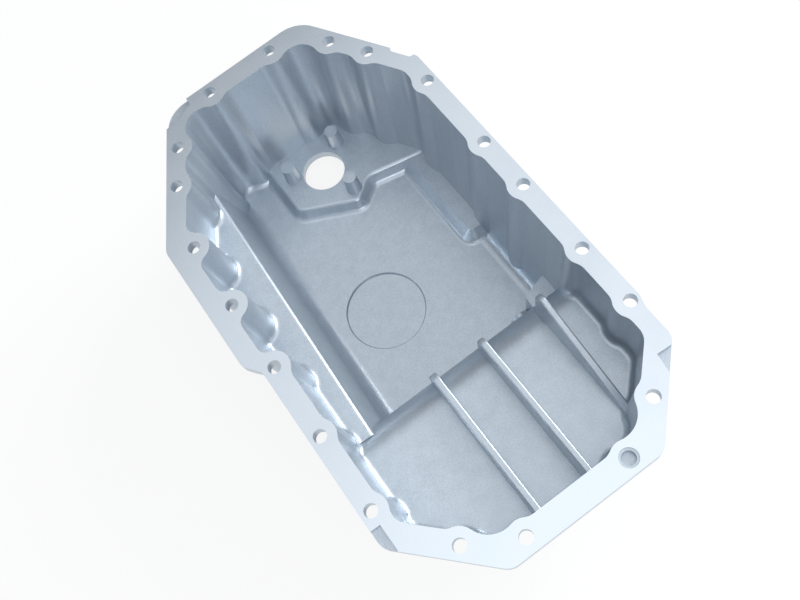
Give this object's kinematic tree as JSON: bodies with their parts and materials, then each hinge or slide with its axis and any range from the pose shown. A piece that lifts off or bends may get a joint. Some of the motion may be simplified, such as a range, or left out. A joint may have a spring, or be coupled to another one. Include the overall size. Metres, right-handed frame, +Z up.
{
  "type": "engine oil pan",
  "caption": "Die-cast aluminium engine oil pan with a drafted, scalloped wall, a deep sump, side shelf, stepped shallow end with stiffening ribs, sensor port and drain plug.",
  "frame": {"origin": "under the middle of the pan's length and width, level with its bottom", "axes": "+Z up through the mouth to the engine block, +Y to the deep far end, +X to the long wall beside the drain"},
  "size_m": [0.2258, 0.4066, 0.118],
  "materials": {
    "cast_aluminium": "blasted casting with a machined gasket face",
    "plug_steel": "zinc-plated steel",
    "washer_aluminium": "soft flat ring"
  },
  "bodies": {
    "pan": {"oil_pan_casting": "cast_aluminium"},
    "sealing_washer": {"drain_plug_washer": "washer_aluminium"},
    "plug": {"drain_plug": "plug_steel"}
  },
  "joints": [
    {"name": "plug_travel", "type": "slide", "parent": "pan", "child": "sealing_washer", "axis": [0, -1, 0], "range_m": [0, 0.026]},
    {"name": "plug_turn", "type": "hinge", "parent": "sealing_washer", "child": "plug", "pos_m": [0.06555, -0.07735, 0.0145], "axis": [0, -1, 0], "range_deg": [0, 6242]}
  ],
  "couplings": [
    {"joint": "plug_turn", "follows": "plug_travel", "rad_per_m": 4188.8}
  ]
}
